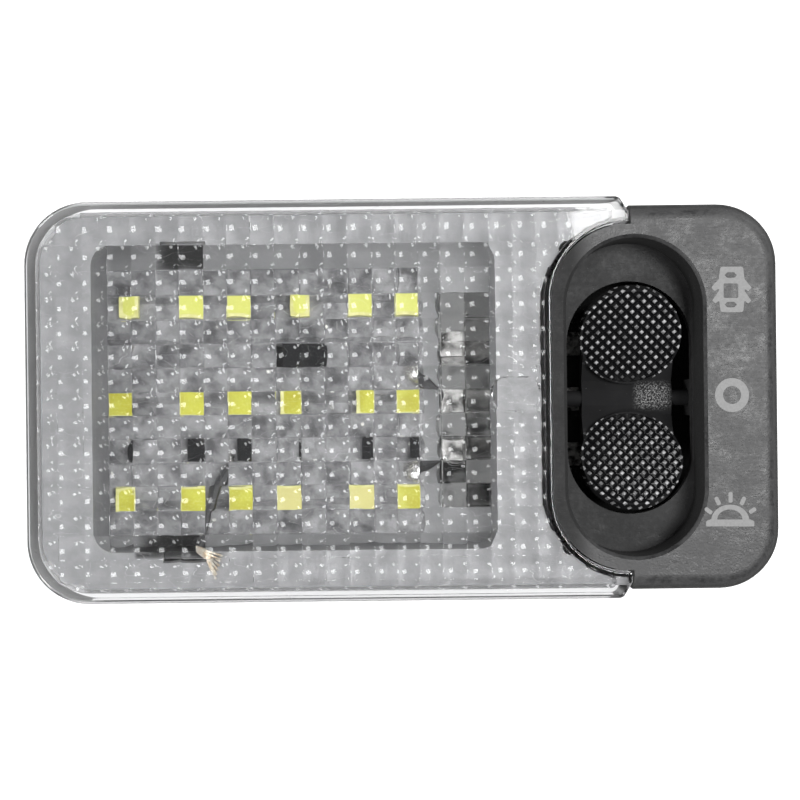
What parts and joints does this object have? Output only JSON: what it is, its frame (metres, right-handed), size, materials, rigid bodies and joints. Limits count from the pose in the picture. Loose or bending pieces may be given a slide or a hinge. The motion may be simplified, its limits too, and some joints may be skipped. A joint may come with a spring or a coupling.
{
  "type": "car dome light",
  "caption": "Rectangular car interior lamp: black housing, clear pillow-optic lens over an LED board, and a knurled three-position rocker switch in a rounded well.",
  "frame": {"origin": "middle of the lamp's outline, on the plane of the can's flat back", "axes": "+Z out of the lens, away from the roof; +X along the lamp towards the switch; +Y across it"},
  "size_m": [0.12, 0.064, 0.026],
  "materials": {
    "housing": "black moulded plastic with a fine dull texture",
    "lens": "clear moulded acrylic, slightly grey, smooth face",
    "reflector": "light grey satin plastic",
    "foam": "white foam tape",
    "board": "grey solder mask over an aluminium board",
    "led_body": "white moulded package",
    "phosphor": "yellow phosphor gel, unlit",
    "component": "black moulded component",
    "solder": "bright solder",
    "insulation": "black wire insulation",
    "copper": "bare tinned copper strands",
    "rocker": "black plastic, glossy, with knurled pads",
    "plunger": "natural acetal",
    "spring": "spring wire",
    "contact": "rolled brass strip",
    "terminal": "tinned brass strip"
  },
  "bodies": {
    "lamp": {"housing": "housing", "lens": "lens", "reflector": "reflector", "foam_tape": "foam", "board": "board", "led_1_1": "led_body", "led_1_2": "led_body", "led_1_3": "led_body", "led_1_4": "led_body", "led_1_5": "led_body", "led_1_6": "led_body", "led_2_1": "led_body", "led_2_2": "led_body", "led_2_3": "led_body", "led_2_4": "led_body", "led_2_5": "led_body", "led_2_6": "led_body", "led_3_1": "led_body", "led_3_2": "led_body", "led_3_3": "led_body", "led_3_4": "led_body", "led_3_5": "led_body", "led_3_6": "led_body", "led_windows": "phosphor", "resistor_1": "component", "resistor_2": "component", "resistor_3": "component", "resistor_4": "component", "resistor_5": "component", "resistor_6": "component", "diode": "component", "solder_joints": "solder", "supply_wire": "insulation", "return_wire": "insulation", "ground_wire": "insulation", "wire_strands": "copper", "common_terminal": "terminal", "door_terminal": "terminal", "lamp_terminal": "terminal"},
    "rocker": {"rocker": "rocker", "plunger_spring": "spring"},
    "plunger": {"plunger": "plunger"},
    "blade": {"contact_blade": "contact"}
  },
  "joints": [
    {"name": "rocker_tilt", "type": "hinge", "parent": "lamp", "child": "rocker", "pos_m": [0.0374, 0, 0.0134], "axis": [1, 0, 0], "range_deg": [-7, 7]},
    {"name": "plunger_press", "type": "slide", "parent": "rocker", "child": "plunger", "axis": [0, 0, 1], "range_m": [0, 0.0005], "stiffness_N_per_m": 300, "springref_m": -0.002, "deforming": ["plunger_spring"]},
    {"name": "blade_tilt", "type": "hinge", "parent": "lamp", "child": "blade", "pos_m": [0.0374, 0, 0.0092], "axis": [1, 0, 0], "range_deg": [-5, 5]}
  ],
  "couplings": [
    {"joint": "blade_tilt", "follows": "rocker_tilt", "ratio": -0.71429}
  ]
}
